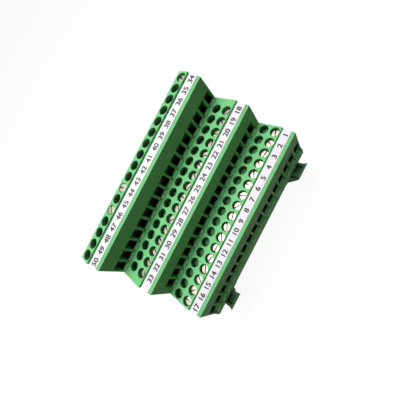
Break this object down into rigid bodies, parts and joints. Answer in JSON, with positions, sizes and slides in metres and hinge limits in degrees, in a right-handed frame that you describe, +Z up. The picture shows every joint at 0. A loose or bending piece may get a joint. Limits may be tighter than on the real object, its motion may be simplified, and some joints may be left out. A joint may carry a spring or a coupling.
{
  "type": "field wiring terminal block",
  "caption": "Three-level staircase screw terminal block with numbered marker strips on a board carrier, with two sliding-latch rail feet and a rear ribbon header.",
  "frame": {"origin": "middle of the base, at the height of the foot undersides", "axes": "+X along the block towards terminal number one, +Y from the wire side to the ribbon header, +Z up"},
  "size_m": [0.0866, 0.06, 0.0704],
  "materials": {
    "housing_green": "satin moulded polyamide",
    "marker_white": "matt strip",
    "screw_nickel": "nickel-plated steel",
    "steel": "zinc-plated",
    "contact_brass": "tinned",
    "board": "solder mask",
    "carrier_green": "extruded",
    "foot_green": "moulded",
    "header_black": "moulded",
    "pin_gold": "plated"
  },
  "bodies": {
    "base": {"terminal_housing": "housing_green", "circuit_board": "board", "board_carrier": "carrier_green", "header_shroud": "header_black", "header_pins": "pin_gold", "housing_screws": "steel", "foot_screws": "steel", "rail_foot_left": "foot_green", "rail_foot_right": "foot_green", "marker_strip_lower": "marker_white", "clamp_cages_lower": "steel", "clamp_screws_lower": "screw_nickel", "contact_strips_lower": "contact_brass", "marker_strip_middle": "marker_white", "clamp_cages_middle": "steel", "clamp_screws_middle": "screw_nickel", "contact_strips_middle": "contact_brass", "marker_strip_upper": "marker_white", "clamp_cages_upper": "steel", "clamp_screws_upper": "screw_nickel", "contact_strips_upper": "contact_brass"},
    "latch_left": {"rail_latch_left": "foot_green"},
    "latch_right": {"rail_latch_right": "foot_green"},
    "lever_left": {"header_lever_left": "header_black"},
    "lever_right": {"header_lever_right": "header_black"}
  },
  "joints": [
    {"name": "latch_left_slide", "type": "slide", "parent": "base", "child": "latch_left", "axis": [0, -1, 0], "range_m": [0, 0.003], "stiffness_N_per_m": 400, "springref_m": -0.004},
    {"name": "latch_right_slide", "type": "slide", "parent": "base", "child": "latch_right", "axis": [0, -1, 0], "range_m": [0, 0.003], "stiffness_N_per_m": 400, "springref_m": -0.004},
    {"name": "lever_left_hinge", "type": "hinge", "parent": "base", "child": "lever_left", "pos_m": [-0.03605, 0.0227, 0.0192], "axis": [0, -1, 0], "range_deg": [0, 45]},
    {"name": "lever_right_hinge", "type": "hinge", "parent": "base", "child": "lever_right", "pos_m": [0.03605, 0.0227, 0.0192], "axis": [0, 1, 0], "range_deg": [0, 45]}
  ]
}
